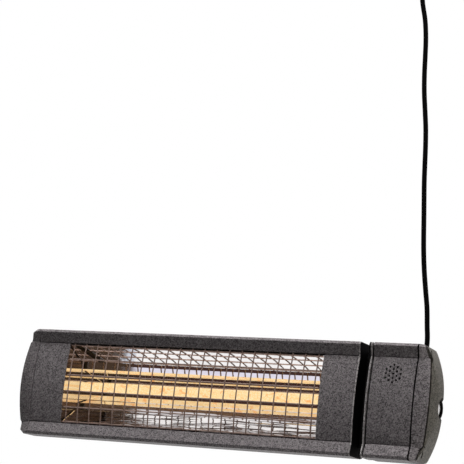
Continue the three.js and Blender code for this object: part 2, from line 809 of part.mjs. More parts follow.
// An angle on the housing's back: a foot held by two screws and an ear that turns on the pivot.
function pivotEar(name, side) {
  const back = FRONT_Y + BACK_D + GAP;
  const thick = 2.5;
  const outer = ARM_X - 0.5;
  const ear = new THREE.Shape();
  ear.moveTo(back, -14);
  ear.lineTo(PIVOT_Y - 2, -12);
  ear.absarc(PIVOT_Y, 0, 12, -Math.PI / 2, Math.PI / 2, false);
  ear.lineTo(back, 14);
  const hole = new THREE.Path();
  hole.absarc(PIVOT_Y, 0, 4.4, 0, 2 * Math.PI);
  ear.holes.push(hole);
  const leg = new THREE.ExtrudeGeometry(ear, {
    depth: thick,
    bevelEnabled: false,
    curveSegments: 16,
  });
  leg.applyMatrix4(SECTION_TURN).translate(side > 0 ? outer - thick : -outer, 0, 0);
  const foot = block(
    side > 0 ? [outer - 26, back, -14] : [-outer, back, -14],
    side > 0 ? [outer, back + thick, 14] : [-outer + 26, back + thick, 14],
  );
  const screwX = side * (outer - 15);
  const holes = [-8, 8].map((z) => rod("y", back - 1, back + 4, [screwX, 0, z], 2.5, 12));
  return piece(name, cut(join(foot, leg), ...holes), STEEL);
}

function earScrews(side, word) {
  const back = FRONT_Y + BACK_D + GAP + 2.5;
  const screwX = side * (ARM_X - 15.5);
  return [-8, 8].map((z, index) => {
    const head = rod("y", back + GAP, back + 3.2, [screwX, 0, z], 4, 12);
    const shank = rod("y", back - 2.5, back + 1, [screwX, 0, z], 2, 10);
    return piece(`ear_screw_${word}_${index + 1}`, join(head, shank), STEEL);
  });
}

function pivotBolt(side, word) {
  const centre = [0, PIVOT_Y, 0];
  const span = (from, to) => (side > 0 ? [from, to] : [-to, -from]);
  const headSpan = span(ARM_X + PLATE + GAP, ARM_X + PLATE + 6);
  const shankSpan = span(ARM_X - 12, ARM_X + PLATE + 1);
  const nutSpan = span(ARM_X - 10.5, ARM_X - 3 - GAP);
  const head = rod("x", ...headSpan, centre, 7.5, 6);
  const shank = rod("x", ...shankSpan, centre, 4, 16);
  const nut = rod("x", ...nutSpan, centre, 7.5, 6);
  const bore = rod("x", nutSpan[0] - 1, nutSpan[1] + 1, centre, 4.4, 16);
  return [
    piece(`pivot_bolt_${word}`, join(head, shank), STEEL),
    piece(`pivot_nut_${word}`, cut(nut, bore), STEEL),
  ];
}

// ---- assembly -----------------------------------------------------------------------------
const heater = new THREE.Group();
heater.add(
  mainHousing(),
  frontPanel("front_panel_left", BODY_LEFT + SEAM - GAP, -WINDOW_HALF),
  frontPanel("front_panel_right", WINDOW_HALF, BODY_RIGHT - GAP),
  endFrame("left_end_frame", LEFT_END),
  leftSideCover(),
  endPlate("main_end_plate", BODY_RIGHT + GAP, BODY_PLATE),
  reflector(),
  reflectorEnd("reflector_end_left", -1),
  reflectorEnd("reflector_end_right", 1),
  lampTube(),
  filament(),
  ...lampEnd(-1, "left"),
  ...lampEnd(1, "right"),
  wireGuard(),
  neckBlock(),
  endPlate("box_end_plate", NECK_END, BOX_PLATE),
  boxSeal(),
  boxHousing(),
  boxFront(),
  ...boxElectronics(),
  endFrame("right_end_frame", RIGHT_END),
  rightSideCover(),
  powerSwitch(),
  buttonBezel(),
  powerButton(),
  ...cableEntry(),
  pivotEar("pivot_ear_left", -1),
  pivotEar("pivot_ear_right", 1),
  ...earScrews(-1, "left"),
  ...earScrews(1, "right"),
  ...pivotBolt(-1, "left"),
  ...pivotBolt(1, "right"),
);

const fixed = new THREE.Group();
fixed.add(wallBracket(), mainsLead(), ...wallOutlet());

const part = new THREE.Group();
part.add(heater, fixed);

export default part;
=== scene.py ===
# %% [markdown]
# # A wall heater with one gold lamp
#
# The heater hangs on a tilting bracket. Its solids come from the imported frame, in metres, with
# the wall at y = 0, the front towards -Y and +Z up. They are right in size but plain. This lesson
# gives every solid a finish, and swaps the stand-ins, such as the lead, the guard and the lamp's
# coil, for finer surfaces that are worked out with numpy.

import bpy
import bmesh
import numpy as np
from mathutils import Matrix, Vector


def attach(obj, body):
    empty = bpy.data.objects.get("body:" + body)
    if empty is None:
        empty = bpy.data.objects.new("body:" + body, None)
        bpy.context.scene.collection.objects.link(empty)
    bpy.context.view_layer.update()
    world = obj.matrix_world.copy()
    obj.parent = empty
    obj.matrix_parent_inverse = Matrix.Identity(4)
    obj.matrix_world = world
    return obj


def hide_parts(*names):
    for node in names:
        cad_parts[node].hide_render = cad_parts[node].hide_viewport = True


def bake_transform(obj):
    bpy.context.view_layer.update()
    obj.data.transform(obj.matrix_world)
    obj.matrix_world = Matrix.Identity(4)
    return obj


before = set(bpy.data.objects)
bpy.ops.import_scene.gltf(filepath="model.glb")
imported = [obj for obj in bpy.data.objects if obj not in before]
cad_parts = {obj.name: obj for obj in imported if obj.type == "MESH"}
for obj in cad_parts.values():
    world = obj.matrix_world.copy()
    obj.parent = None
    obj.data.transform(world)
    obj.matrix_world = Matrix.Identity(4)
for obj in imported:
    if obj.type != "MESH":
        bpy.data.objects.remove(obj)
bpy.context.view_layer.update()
print("nodes:", len(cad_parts))

MM = 0.001
ALONG = np.array([1.0, 0.0, 0.0])
AHEAD = np.array([0.0, -1.0, 0.0])
UP = np.array([0.0, 0.0, 1.0])


def unit(vectors):
    """Each vector divided by its own length."""
    return vectors / np.linalg.norm(vectors, axis=-1, keepdims=True)


# %% [markdown]
# ## The camera
#
# The heater is seen from below and from its right, and it looks turned a little clockwise. A
# camera can be aimed with a constraint or by hand. Here it is placed by its azimuth, elevation
# and distance, then rolled about its own line of sight, because those numbers can be fitted to a
# few corners, and they need no shift.

# %% Camera
IMAGE, FOCAL_PIXELS = 464, 1869.6
SENSOR_WIDTH, FARTHEST = 36.0, 100.0
azimuth, elevation, roll = np.radians([28.9, -11.3, 6.7])
aim = np.array([40.8, -120.0, 227.4]) * MM
distance = 2650.4 * MM

level = np.cos(elevation)
towards_eye = np.array([np.sin(azimuth) * level, -np.cos(azimuth) * level, np.sin(elevation)])
eye = aim + distance * towards_eye
sideways = unit(np.cross(-towards_eye, UP))
upright = np.cross(sideways, -towards_eye)
right = np.cos(roll) * sideways + np.sin(roll) * upright
top = np.cos(roll) * upright - np.sin(roll) * sideways

camera_data = bpy.data.cameras.new("camera")
camera_data.sensor_fit = "HORIZONTAL"
camera_data.sensor_width = SENSOR_WIDTH
camera_data.lens = SENSOR_WIDTH * FOCAL_PIXELS / IMAGE
camera_data.clip_end = FARTHEST
camera = bpy.data.objects.new("camera", camera_data)
bpy.context.collection.objects.link(camera)
pose = np.identity(4)
pose[:3] = np.stack([right, top, towards_eye, eye], 1)
camera.matrix_world = Matrix(pose.tolist())
bpy.context.scene.camera = camera
print("camera at", eye.round(3), "lens", round(camera_data.lens, 1))

# %% [markdown]
# ## Surfaces from rings
#
# Most pieces here are a ring of points that changes along a path: a tube, a bar, a dome. Blender
# could extrude or bevel them, but as rings they are one numpy array, so that any formula may
# shape them. A surface then costs two helpers: one joins the rings with faces and closes the
# ends, and one turns points and faces into a Blender object.


# %% Rings to faces, faces to objects
def ring_faces(count, sides, start=0):
    """Quads between each ring and the next, where ring i, side j is point i * sides + j."""
    i, j = np.meshgrid(np.arange(count - 1), np.arange(sides), indexing="ij")
    k = (j + 1) % sides
    quads = np.stack([i * sides + j, i * sides + k, (i + 1) * sides + k, (i + 1) * sides + j], -1)
    return (quads.reshape(-1, 4) + start).tolist()


def closed_skin(rings, start=0):
    """All points of the rings, with one flat face over each end ring."""
    count, sides = rings.shape[:2]
    first = (np.arange(sides)[::-1] + start).tolist()
    last = (np.arange(sides) + (count - 1) * sides + start).tolist()
    return rings.reshape(-1, 3), ring_faces(count, sides, start) + [first, last]


def many_skins(all_rings):
    """Several closed skins in one mesh."""
    points, faces, start = [], [], 0
    for rings in all_rings:
        skin_points, skin_faces = closed_skin(rings, start)
        points.append(skin_points)
        faces += skin_faces
        start += len(skin_points)
    return np.concatenate(points), faces


def finish_mesh(mesh, sharp_degrees):
    """Smooth shading that stays sharp where faces meet at more than the angle."""
    mesh.polygons.foreach_set("use_smooth", np.ones(len(mesh.polygons), dtype=bool))
    mesh.set_sharp_from_angle(angle=np.radians(sharp_degrees))
    mesh.update()


def make_object(name, points, faces, sharp_degrees=35):
    """An object at the origin from points in millimetres, with its faces turned outwards."""
    mesh = bpy.data.meshes.new(name)
    mesh.from_pydata((np.asarray(points) * MM).tolist(), [], faces)
    shape = bmesh.new()
    shape.from_mesh(mesh)
    bmesh.ops.recalc_face_normals(shape, faces=shape.faces)
    shape.to_mesh(mesh)
    shape.free()
    finish_mesh(mesh, sharp_degrees)
    made = bpy.data.objects.new(name, mesh)
    bpy.context.collection.objects.link(made)
    return made


def tube_rings(path, radius, sides, hint):
    """Circles round a path: point = path + radius * (cos u * side + sin u * other), where side
    is square to the path and to the hint, and other is square to both. The radius may be one
    number or one for each point of the path."""
    along = unit(np.gradient(path, axis=0))
    side = unit(np.cross(along, hint))
    other = np.cross(side, along)
    u = np.linspace(0, 2 * np.pi, sides, endpoint=False)[None, :, None]
    radius = np.broadcast_to(radius, len(path))[:, None, None]
    return path[:, None] + radius * (np.cos(u) * side[:, None] + np.sin(u) * other[:, None])


# %% [markdown]
# ## The mains lead
#
# The lead is one fixed length of 7 mm rubber. It leaves the strain relief behind the control box
# and rises, leaning a little, to an outlet on the wall just above the view, which holds it. A
# simulated rope would hang too straight, so its route is listed, and it is the same list as the
# solid's.

# %% Lead
LEAD_DIAMETER, LEAD_SIDES = 0.007, 20
lead_route = [
    (0.3306, -0.066, 0.0823),
    (0.3308, -0.066, 0.088),
    (0.33, -0.0655, 0.098),
    (0.3278, -0.0643, 0.1115),
    (0.3242, -0.0623, 0.137),
    (0.3188, -0.0602, 0.162),
    (0.3134, -0.058, 0.188),
    (0.309, -0.0558, 0.2135),
    (0.3054, -0.0535, 0.2395),
    (0.3022, -0.0512, 0.2655),
    (0.2988, -0.0489, 0.292),
    (0.2955, -0.0466, 0.3185),
    (0.2928, -0.0442, 0.345),
    (0.2901, -0.0418, 0.372),
    (0.2867, -0.0394, 0.399),
    (0.2819, -0.0369, 0.426),
    (0.277, -0.0345, 0.4535),
    (0.2735, -0.032, 0.481),
    (0.2709, -0.0295, 0.509),
    (0.268, -0.027, 0.537),
    (0.263, -0.0244, 0.565),
    (0.256, -0.0222, 0.59),
    (0.2532, -0.0212, 0.606),
    (0.2528, -0.021, 0.6177),
]


def smooth_path(points, steps):
    """A curve through the points. Between two of them it is the sum of four weights, each a
    cubic in t, times the two points and their neighbours. At either end the missing neighbour
    is the end's own mirror image."""
    p = np.asarray(points, float)
    p = np.concatenate([[2 * p[0] - p[1]], p, [2 * p[-1] - p[-2]]])
    t = np.linspace(0, 1, steps, endpoint=False)[None, :, None]
    a, b, c, d = p[:-3, None], p[1:-2, None], p[2:-1, None], p[3:, None]
    curve = b + 0.5 * t * (c - a + t * (2 * a - 5 * b + 4 * c - d + t * (3 * (b - c) + d - a)))
    return np.concatenate([curve.reshape(-1, 3), p[-2:-1]])


lead_path = smooth_path(lead_route, steps=4)
lead_rings = tube_rings(lead_path / MM, LEAD_DIAMETER / MM / 2, LEAD_SIDES, AHEAD)
lead = make_object("lead", *closed_skin(lead_rings), sharp_degrees=60)
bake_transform(lead)
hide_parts("mains_lead")

# %% [markdown]
# ## Shader maths as Python
#
# A material is a sum of masks. Its nodes could be dragged together in the shader editor, but
# written out they can be read and repeated. One small class wraps a socket, so that an expression
# such as `1 - mask * 0.4` adds its own Math nodes, and one method makes any other node from its
# type, its settings and its inputs.


# %% Sockets with operators
class Value:
    """One output socket of a material's nodes."""

    def __init__(self, board, socket):
        self.board = board
        self.socket = socket

    def maths(self, operation, *others):
        """A Math node on this value and the others."""
        return self.board.node("ShaderNodeMath", {"operation": operation}, [self, *others])

    def __add__(self, other):
        return self.maths("ADD", other)

    def __sub__(self, other):
        return self.maths("SUBTRACT", other)

    def __rsub__(self, other):
        return (self * -1) + other

    def __mul__(self, other):
        return self.maths("MULTIPLY", other)

    __radd__ = __add__
    __rmul__ = __mul__

    def above(self, edge, softness):
        """0 below the edge and 1 above it, with a soft step between."""
        inputs = {"Value": self, "From Min": edge - softness, "From Max": edge + softness}
        kind = {"interpolation_type": "SMOOTHSTEP"}
        return self.board.node("ShaderNodeMapRange", kind, inputs)


# %% A board of nodes
def set_stops(ramp, stops):
    """Gives a colour ramp its (position, colour) stops."""
    while len(ramp.elements) < len(stops):
        ramp.elements.new(0.5)
    for element, (position, colour) in zip(ramp.elements, stops):
        element.position = position
        element.color = (*colour, 1)


class Board:
    """The nodes of one material or world."""

    def __init__(self, owner):
        owner.use_nodes = True
        self.tree = owner.node_tree
        self.tree.nodes.clear()

    def node(self, kind, settings=None, inputs=None, output=0):
        """A node of that type: its settings are set first, a ramp's stops among them, then the
        values or links of its inputs, given by name, by number or in order."""
        made = self.tree.nodes.new(kind)
        for word, setting in (settings or {}).items():
            if word == "stops":
                set_stops(made.color_ramp, setting)
            else:
                setattr(made, word, setting)
        inputs = inputs or {}
        pairs = inputs.items() if isinstance(inputs, dict) else enumerate(inputs)
        for name, given in pairs:
            if isinstance(given, Value):
                self.tree.links.new(given.socket, made.inputs[name])
            else:
                made.inputs[name].default_value = given
        return Value(self, made.outputs[output]) if len(made.outputs) else None

    def place(self):
        """The point's place on its own piece, in metres."""
        return self.node("ShaderNodeTexCoord", output="Object")

    def stretched(self, place, scale):
        """The place with each axis scaled by its own number."""
        return self.node("ShaderNodeMapping", None, {"Vector": place, "Scale": scale})

    def axis(self, place, name):
        """One of the place's three numbers: X, Y or Z."""
        return self.node("ShaderNodeSeparateXYZ", None, {"Vector": place}, output=name)

    def noise(self, place, scale, detail=2.0, roughness=0.5):
        """Noise whose lumps are about 1 / scale metres apart."""
        inputs = {"Vector": place, "Scale": scale, "Detail": detail, "Roughness": roughness}
        return self.node("ShaderNodeTexNoise", None, inputs)

    def blend(self, mask, low, high):
        """The low colour where the mask is 0 and the high colour where it is 1. Among a Mix
        node's sockets the colours are inputs 6 and 7 and output 2."""
        low, high = (part if isinstance(part, Value) else (*part, 1) for part in (low, high))
        inputs = {0: mask, 6: low, 7: high}
        return self.node("ShaderNodeMix", {"data_type": "RGBA"}, inputs, output=2)

    def bump(self, height, strength, depth):
        """A normal that leans with the slopes of the height, which rises by depth metres."""
        inputs = {"Height": height, "Strength": strength, "Distance": depth}
        return self.node("ShaderNodeBump", None, inputs, output="Normal")

    def rays(self, *kinds):
        """For each kind, 1 where the light path's ray is of that kind and 0 elsewhere."""
        return [self.node("ShaderNodeLightPath", output=f"Is {kind} Ray") for kind in kinds]

    def principled(self, inputs):
        """The shader that carries a finish's colour, roughness and normal."""
        return self.node("ShaderNodeBsdfPrincipled", None, inputs)

    def mixed(self, factor, first, second):
        """The first shader where the factor is 0 and the second where it is 1."""
        return self.node("ShaderNodeMixShader", None, [factor, first, second])


def finish(name, build):
    """A material whose nodes are wired by build(board)."""
    material = bpy.data.materials.new(name)
    board = Board(material)
    board.node("ShaderNodeOutputMaterial", None, {"Surface": build(board)})
    print("finish", name, "with", len(board.tree.nodes), "nodes")
    return material


# %% [markdown]
# ## Powder coat
#
# Every housing piece has a dark coat that was sprayed as powder and baked. From a step away it
# reads as a grey grain with lighter specks; close up it is a fine orange peel. One noise alone
# would look cloudy, so three layers do it: a wide drift of tone, a grain of separate cells, and
# sparse bright flakes that are a little metallic. The right cover gets a darker, warmer copy of
# the same coat, which is painted shade.


# %% Powder coat
# The second tone is the same coat made darker and warmer for the right cover: painted shade.
ANTHRACITE, COVER_SHADED_TONE = (0.120, 0.111, 0.115), (0.066, 0.062, 0.053)
CELLS_PER_METRE, FLAKES_ABOVE = 780, 0.95
DARKEST, LIGHTEST, FLAKE_TONE = 0.05, 2.15, 3


def powder_coat(base):
    """The grain is 0.8 of each cell's own random number and 0.2 of a fine noise. The tone runs
    with it from DARKEST to LIGHTEST times the base colour, and a tenth of it is the wide drift.
    One cell in twenty is a flake: paler, smoother and partly metallic."""

    def build(b):
        place = b.place()
        inputs = {"Vector": place, "Scale": CELLS_PER_METRE}
        cells = b.node("ShaderNodeTexVoronoi", None, inputs, "Color")
        grain = b.axis(cells, "X") * 0.8 + b.noise(place, 700, roughness=0.8) * 0.2
        drift = b.noise(place, 14)
        flake = b.axis(cells, "Y").above(FLAKES_ABOVE, 0.02)
        dark, light, bright = (
            [part * share for part in base] for share in (DARKEST, LIGHTEST, FLAKE_TONE)
        )
        tone = b.blend(grain * 0.9 + drift * 0.1, dark, light)
        inputs = {
            "Base Color": b.blend(flake * 0.35, tone, bright),
            "Roughness": 0.52 - flake * 0.15 + (drift - 0.5) * 0.1,
            "Metallic": flake * 0.3,
            "Specular IOR Level": 0.26,
            "Normal": b.bump(b.noise(place, 480), 0.35, 0.00025),
        }
        return b.principled(inputs)

    return build


housing_coat = finish("dark_powder_coat", powder_coat(ANTHRACITE))
# The right cover's coat is a darker copy of the housing's: painted shade.
cover_shaded_coat = finish("cover_coat_painted_shade", powder_coat(COVER_SHADED_TONE))
print("powder cells", round(1000 / CELLS_PER_METRE, 2), "mm apart")

# %% [markdown]
# ## Rubber, plastic, steel and ceramic
#
# The smaller finishes are rubber at the lead, moulded plastic in the neck, plated steel, ceramic
# and a green board. Each could have nodes of its own, but they differ in numbers alone, so they
# share one recipe: a base colour that drifts between two tones, a roughness that drifts with it,
# and a fine bump. Brushed metal stretches the noise along one axis.


# %% Plain finishes
def plain(low, high, roughness, metallic=0.0, scale=60, fine=700, stretch=None, shine=0.5):
    """The colour runs from low to high with a noise of that scale, the roughness moves by up to
    0.075 either way with it, and a finer noise raises the surface by up to 0.05 mm."""

    def build(b):
        place = b.place()
        if stretch:
            place = b.stretched(place, stretch)
        drift = b.noise(place, scale, detail=3)
        inputs = {
            "Base Color": b.blend(drift, low, high),
            "Roughness": roughness + (drift - 0.5) * 0.15,
            "Metallic": metallic,
            "Specular IOR Level": shine,
            "Normal": b.bump(b.noise(place, fine), 0.3, 0.00005),
        }
        return b.principled(inputs)

    return build


def black(tone, roughness, shine):
    """A black recipe: its tone drifts between the given grey and twice that."""
    return plain((tone,) * 3, (tone * 2,) * 3, roughness, shine=shine)


lead_rubber = finish("lead_rubber", black(0.0015, 0.5, 0.03))
soft_rubber = finish("soft_rubber", black(0.003, 0.7, 0.05))
black_plastic = finish("black_plastic", black(0.004, 0.45, 0.12))
steel = finish(
    "plated_steel",
    plain((0.42, 0.40, 0.38), (0.62, 0.60, 0.57), 0.32, 1.0, 40, 900, (0.2, 1, 1)),
)
wire_steel = finish("guard_wire", plain((0.26, 0.185, 0.16), (0.40, 0.30, 0.265), 0.35, 0.4, 90))
button_steel = finish(
    "button_steel", plain((0.80, 0.79, 0.77), (0.92, 0.91, 0.89), 0.22, 1.0, 60, 900, (1, 1, 0.1))
)
ceramic = finish("ceramic", plain((0.62, 0.57, 0.48), (0.78, 0.73, 0.64), 0.75, 0.0, 90))
board_green = finish("board_green", plain((0.02, 0.10, 0.03), (0.05, 0.20, 0.07), 0.4, 0.0, 300))

# %% [markdown]
# ## Coats with painted highlight and shade
#
# The two plates beside the neck have a lighter coat, which paints a highlight along their front
# edges, and they are painted black where they face each other: painted shade for the deep
# shadow in the neck. The seam at the control box's right is painted black along its edges too,
# painted shade that makes its gap look wider. Separate strips would have to be cut to the curved
# outline, so the coat itself turns black between two stations along X.

# %% Coats with painted highlight and shade
# The plates' lighter tone is a painted highlight; between the X stations the coat is painted
# shade.
PLATE_HIGHLIGHT_TONE = (0.21, 0.20, 0.20)
NECK_PAINTED_SHADE, SEAM_PAINTED_SHADE = (0.2590, 0.2745), (0.3418, 0.3441)


def coat_with_painted_shade(tone, start, end):
    """The coat, painted black where start < X < end, in metres: painted shade."""

    def build(b):
        coat, painted_shade = powder_coat(tone)(b), black(0.003, 0.7, 0.05)(b)
        station = b.axis(b.place(), "X")
        shade_mask = station.above(start, 0.00005) * (1 - station.above(end, 0.0002))
        return b.mixed(shade_mask, coat, painted_shade)

    return build


# The plates' coat carries a painted highlight, and painted shade where they face the neck.
plate_highlight_and_shade_coat = finish("plate_coat_painted_highlight_and_shade", coat_with_painted_shade(PLATE_HIGHLIGHT_TONE, *NECK_PAINTED_SHADE))
# The seam's edges are painted black: painted shade in the gap.
seam_shade_coat = finish("seam_coat_painted_shade", coat_with_painted_shade(ANTHRACITE, *SEAM_PAINTED_SHADE))
print("black along X:", NECK_PAINTED_SHADE, SEAM_PAINTED_SHADE)

# %% [markdown]
# ## The mirrored trough
#
# The reflector is thin polished sheet, bent to long folds. Rolling leaves ripples that run along
# it, which break up what it mirrors, most of all in the lower half. They are too fine to model as
# points, so they are a bump: noise that is stretched along X, with its slopes across the heater.

# %% Mirror sheet
RIPPLES_BELOW = -0.031


def mirror_sheet(b):
    """The height is 0.06 of wide soft dents, and ripples below the height RIPPLES_BELOW."""
    place = b.place()
    low_part = 1 - b.axis(place, "Z").above(RIPPLES_BELOW, 0.004)
    ripples = b.noise(b.stretched(place, (0.06, 1, 1)), 160, detail=1)
    dents = b.noise(b.stretched(place, (0.8, 1, 1)), 45, roughness=0.6)
    drift = b.noise(b.stretched(place, (0.3, 1, 1)), 120, detail=3)
    inputs = {
        "Base Color": b.blend(drift.above(0.55, 0.2), (0.95, 0.93, 0.92), (0.86, 0.84, 0.84)),
        "Roughness": 0.015 + drift * 0.03,
        "Metallic": 1.0,
        "Normal": b.bump(dents * 0.06 + ripples * low_part, 1.0, 0.0007),
    }
    return b.principled(inputs)


def upright_mirror(b):
    """The end walls shine as if they stood upright, so that the lamp seems to run on in them:
    the normal is +X on the left wall and -X on the right one."""
    turn = 1 - b.axis(b.place(), "X").above(0, 0.01) * 2
    drift = b.noise(b.place(), 120, detail=3)
    inputs = {
        "Base Color": b.blend(drift, (0.93, 0.90, 0.87), (0.84, 0.80, 0.78)),
        "Roughness": 0.04 + drift * 0.04,
        "Metallic": 1.0,
        "Normal": b.node("ShaderNodeCombineXYZ", None, {"X": turn}),
    }
    return b.principled(inputs)


mirror = finish("mirror_sheet", mirror_sheet)
end_mirror = finish("end_mirror_sheet", upright_mirror)

# %% [markdown]
# ## The lamp's finishes
#
# The quartz tube has a gold coat and glows evenly from end to end, and the coil inside shows as
# a faint brighter line. Real glass with a light inside would be noisy and slow. The tube is
# instead a glowing gold skin mixed with a clear one, which lets the coil show through.


# %% Lamp finishes
def gold_quartz(b):
    """The glow runs from a deep to a pale gold with fine specks, and towards orange where a
    noise that is stretched along the tube is high. The clear share is 0.18, more in a speck."""
    place = b.place()
    speck = b.noise(place, 420, detail=3, roughness=0.7).above(0.52, 0.1)
    burnt = b.noise(b.stretched(place, (0.6, 1, 1)), 160, detail=3, roughness=0.7).above(0.6, 0.07)
    gold = b.blend(speck, (1.0, 0.66, 0.28), (1.0, 0.84, 0.52))
    inputs = {
        "Base Color": (0.02, 0.012, 0.004, 1),
        "Roughness": 0.12 + speck * 0.1,
        "Emission Color": b.blend(burnt * 0.7, gold, (1.0, 0.34, 0.06)),
        "Emission Strength": 1.0,
        "Normal": b.bump(speck, 0.2, 0.0001),
    }
    clear = b.node("ShaderNodeBsdfTransparent")
    return b.mixed(0.82 - speck * 0.08, clear, b.principled(inputs))


def hot_coil(b):
    """An orange glow that flickers along the wire."""
    flicker = b.noise(b.place(), 300, detail=1)
    inputs = {
        "Base Color": (0.3, 0.2, 0.1, 1),
        "Roughness": 0.5,
        "Emission Color": b.blend(flicker, (1.0, 0.42, 0.10), (1.0, 0.62, 0.25)),
        "Emission Strength": 0.8,
    }
    return b.principled(inputs)


quartz = finish("gold_quartz", gold_quartz)
coil_glow = finish("hot_coil", hot_coil)

# %% [markdown]
# ## Giving each solid its finish
#
# A solid whose shape is right stays as it is and only changes its material. That could be said
# at each piece, but one table shows at a glance which finish goes where, and what it leaves out
# is plated steel.

# %% Finishes of the solids
finish_of = {
    housing_coat: [
        "main_housing",
        "front_panel_left",
        "front_panel_right",
        "left_end_frame",
        "left_side_cover",
    ],
    seam_shade_coat: ["box_housing", "box_front", "right_end_frame"],
    plate_highlight_and_shade_coat: ["main_end_plate", "box_end_plate"],
    cover_shaded_coat: ["right_side_cover"],
    mirror: ["reflector"],
    end_mirror: ["reflector_end_left", "reflector_end_right"],
    quartz: ["lamp_tube"],
    coil_glow: ["filament"],
    ceramic: ["lamp_cap_left", "lamp_cap_right", "terminal_block"],
    board_green: ["control_board"],
    wire_steel: ["wire_guard"],
    button_steel: ["power_button"],
    lead_rubber: ["strain_relief"],
    soft_rubber: ["box_seal", "outlet_bush"],
    black_plastic: [
        "neck_block",
        "power_relay",
        "capacitor",
        "alarm_sounder",
        "power_switch",
        "button_bezel",
        "gland_body",
        "gland_nut",
        "outlet_base",
        "outlet_cover",
    ],
}
finish_by_name = {name: material for material, names in finish_of.items() for name in names}
print("solids in the table:", len(finish_by_name))


def dress(thing, material):
    """One material all over a piece."""
    thing.data.materials.clear()
    thing.data.materials.append(material)


def stand_for(name, made, body="heater"):
    """The made piece takes the place and the finish of the named solid."""
    dress(made, finish_by_name.get(name, steel))
    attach(made, body)
    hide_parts(name)
    return made


for name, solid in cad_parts.items():
    dress(solid, finish_by_name.get(name, steel))
dress(lead, lead_rubber)
print("steel:", sorted(set(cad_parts) - set(finish_by_name)))

# %% [markdown]
# ## The heater's section
#
# One outline gives every housing piece: a bowed front between two lips that lean forward, and a
# curve over each shoulder down to a flat back. It could be a Bezier curve, but as a formula it
# can be set back by a wall's thickness. It is written as in the solids, with more steps, in
# millimetres, as (depth behind the front edges, height). The control box has squarer shoulders.

# %% Section
FRONT_Y, EDGE_Z, BOW = -120.0, 59.0, 5.0
LIP_REACH, LIP_HEIGHT, LIP_EDGE, LIP_SLOPE = 4.6, 14.7, 3.8, 0.7
BACK_D, BACK_Z, SHOULDER_D, BOX_SHOULDER_D = 60.0, 30.0, 30.0, 44.0
WALL, LEAN_OF_WALL = 2.2, 1.25
BODY_LEFT, BODY_RIGHT, WINDOW_HALF, GAP, SEAM = -259.0, 256.2, 205.0, 0.3, 1.0


def front_arc(half, inset, steps=24):
    """The bowed front from low to high: depth = inset - BOW * (1 - (z / EDGE_Z) ** 2)."""
    z = np.linspace(-half, half, steps + 1)
    return np.stack([inset - BOW * (1 - (z / EDGE_Z) ** 2), z], 1)


def side_run(sign, inset, shoulder=SHOULDER_D, steps=18):
    """The lip's edge, then a quarter of an ellipse from the shoulder to the flat back:
    depth = shoulder + a * cos(turn) and height = BACK_Z + b * sin(turn), while turn falls from
    90 degrees to 0. The sign is 1 for the upper half and -1 for the lower."""
    tall = EDGE_Z + LIP_HEIGHT + LIP_EDGE - inset
    lean = inset * LEAN_OF_WALL - LIP_REACH
    turn = np.linspace(np.pi / 2, 0, steps + 1)
    depth = shoulder + (BACK_D - inset - shoulder) * np.cos(turn)
    height = BACK_Z + (tall - BACK_Z) * np.sin(turn)
    edge = [[lean, min(EDGE_Z + LIP_HEIGHT, tall)], [lean + LIP_EDGE * LIP_SLOPE, tall]]
    run = np.concatenate([edge, np.stack([depth, height], 1)])
    return run * [1, sign]


print("body", BODY_RIGHT - BODY_LEFT, "mm long,", 2 * (EDGE_Z + LIP_HEIGHT + LIP_EDGE), "mm high")


# %% Bars and their edges
def bar_rings(section, stations):
    """The same (depth, height) section at each station x: (x, FRONT_Y + depth, height)."""
    x = np.asarray(stations, float)[:, None]
    depth, x = np.broadcast_arrays(section[None, :, 0], x)
    height = np.broadcast_to(section[None, :, 1], depth.shape)
    return np.stack([x, FRONT_Y + depth, height], -1)


def soften(made, width_mm, degrees=40):
    """A narrow rounded edge wherever faces meet at more than the angle."""
    bevel = made.modifiers.new("edges", "BEVEL")
    bevel.width = width_mm * MM
    bevel.segments = 2
    bevel.limit_method = "ANGLE"
    bevel.angle_limit = np.radians(degrees)
    return made


# %% [markdown]
# ## Housing, panels and plates
#
# The lamp housing is one wall bent round the section and open between its lips. The blank panels
# beside the window are bowed sheets, and the plates close the bodies beside the neck. A sheet
# with Solidify would do too, but its lips would come out square to the wall, so each piece is a
# closed bar of its own section. All get narrow rounded edges, which catch a thin line of light.

# %% Housing, panels and plates
EDGE_WIDTH, PLATE_EDGE_WIDTH, BAR_SHARP = 0.45, 0.5, 25
LEDGE_D, PANEL_D, PLATE_PROUD = WALL * 1.1, 0.5, 0.4
PLATES = {"main_end_plate": (BODY_RIGHT + GAP, 2.6), "box_end_plate": (272.0, 4.4)}
housing_start = BODY_LEFT + SEAM - GAP


def around(inset=0.0):
    """Over the top, down the back and forward below, from lip to lip."""
    return np.concatenate([side_run(1, inset), side_run(-1, inset)[::-1]])


def bar(name, node, section, start, end, edge_width=EDGE_WIDTH):
    """A section carried from one station to the other, with narrow rounded edges."""
    made = make_object(name, *closed_skin(bar_rings(section, [start, end])), BAR_SHARP)
    return stand_for(node, soften(made, edge_width))


outer = [[[0, EDGE_Z]], around(), [[0, -EDGE_Z]]]
inner = [[[LEDGE_D, -EDGE_Z]], around(WALL)[::-1], [[LEDGE_D, EDGE_Z]]]
bar("housing", "main_housing", np.concatenate(outer + inner), housing_start, BODY_RIGHT)

panel_faces = [front_arc(EDGE_Z - SEAM, depth) for depth in (PANEL_D, PANEL_D + WALL)]
sheet = np.concatenate([panel_faces[0], panel_faces[1][::-1]])
bar("panel_left", "front_panel_left", sheet, housing_start, -WINDOW_HALF)
bar("panel_right", "front_panel_right", sheet, WINDOW_HALF, BODY_RIGHT - GAP)

